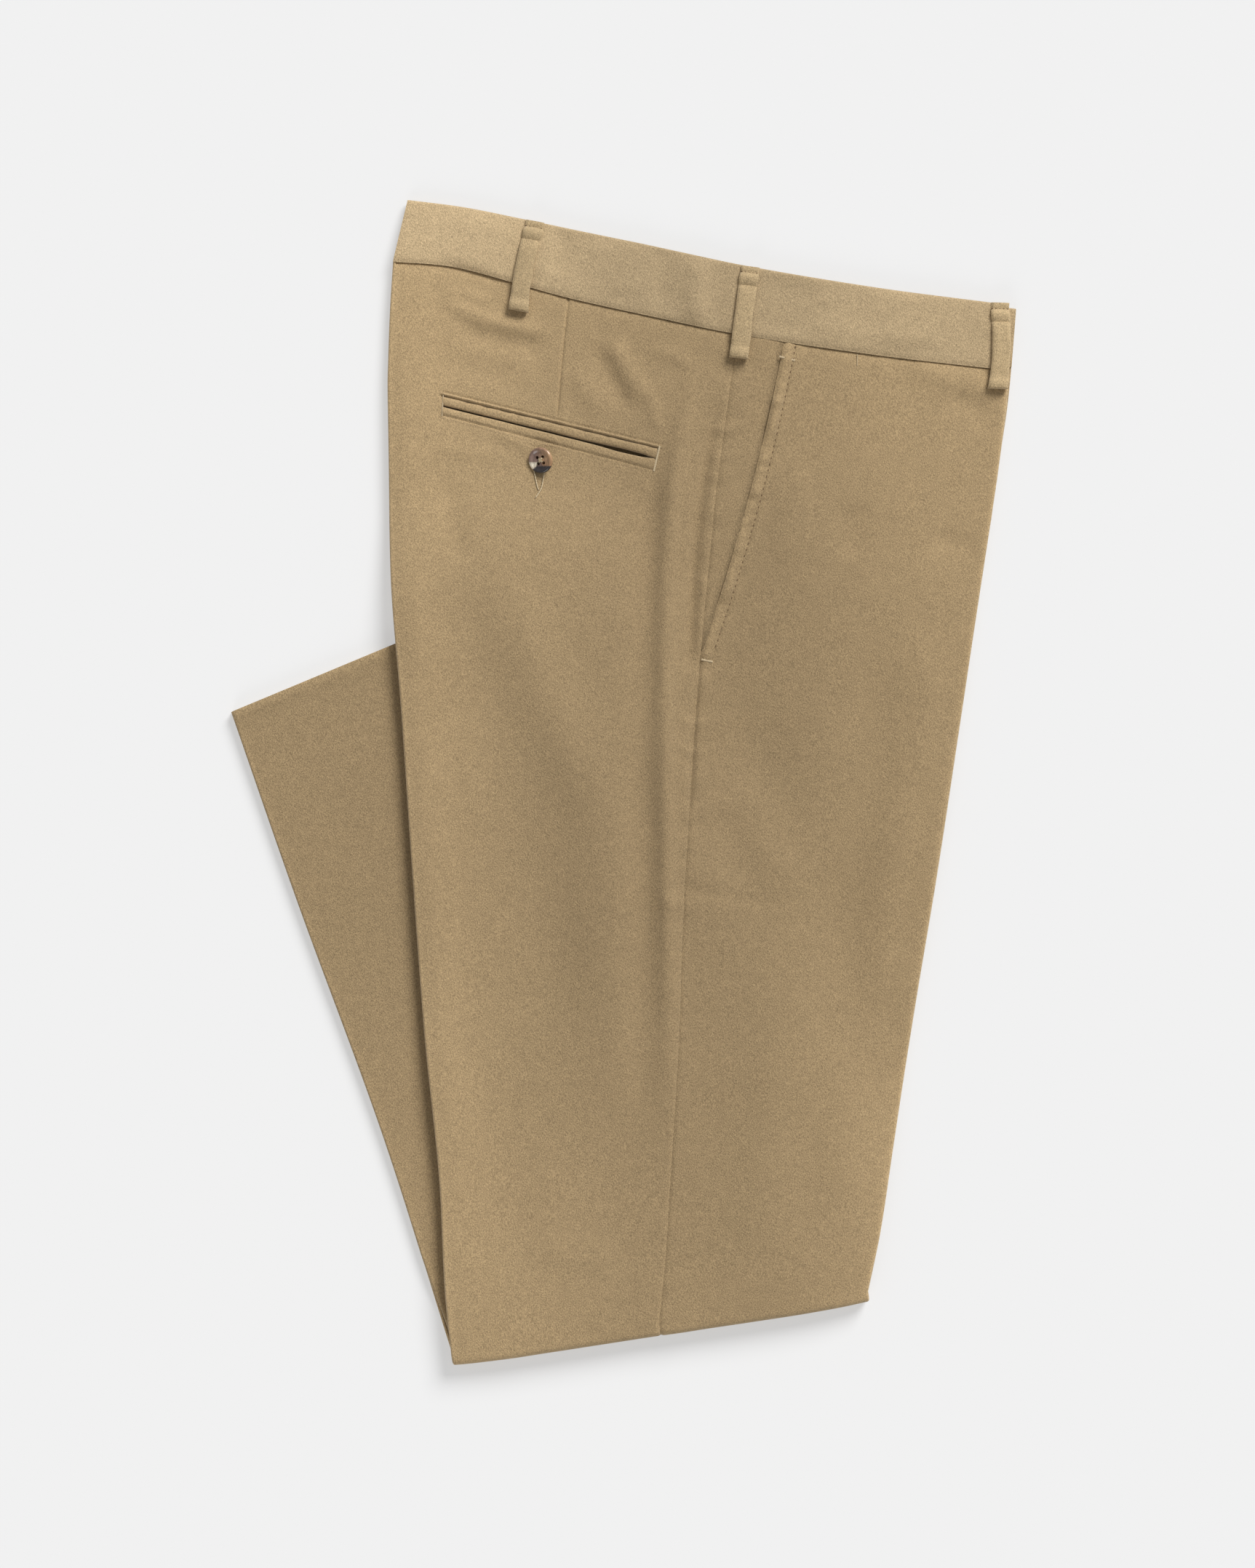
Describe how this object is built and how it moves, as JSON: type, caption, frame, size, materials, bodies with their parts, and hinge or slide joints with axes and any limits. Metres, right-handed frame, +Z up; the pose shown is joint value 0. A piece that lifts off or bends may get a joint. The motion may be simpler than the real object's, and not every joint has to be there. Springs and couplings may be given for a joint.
{
  "type": "folded moleskin trousers",
  "caption": "Moleskin trousers with slant and welted pockets, folded in half lengthwise and once under at the knee, lying flat.",
  "frame": {"origin": "middle of the bounding box on the surface the trousers lie on", "axes": "+Y towards the waist, +X towards the fly, +Z up from the surface"},
  "size_m": [0.4972, 0.7372, 0.0187],
  "materials": {
    "moleskin": "tan cotton moleskin, short brushed nap, matt",
    "moleskin_inside": "back and cut edges of the same cloth, matt",
    "sewing_thread": "fine twisted sewing thread, brown and cream",
    "horn": "polished brown horn with paler streaks"
  },
  "bodies": {
    "root": {"right_back_panel": "moleskin", "right_front_panel": "moleskin", "front_pocket_facing": "moleskin", "left_back_panel": "moleskin", "inner_layers": "moleskin_inside", "right_waistband": "moleskin", "left_waistband": "moleskin", "back_belt_loop": "moleskin", "side_belt_loop": "moleskin", "front_belt_loop": "moleskin", "back_pocket_upper_welt": "moleskin", "back_pocket_lower_welt": "moleskin", "back_pocket_button": "horn"}
  },
  "joints": []
}
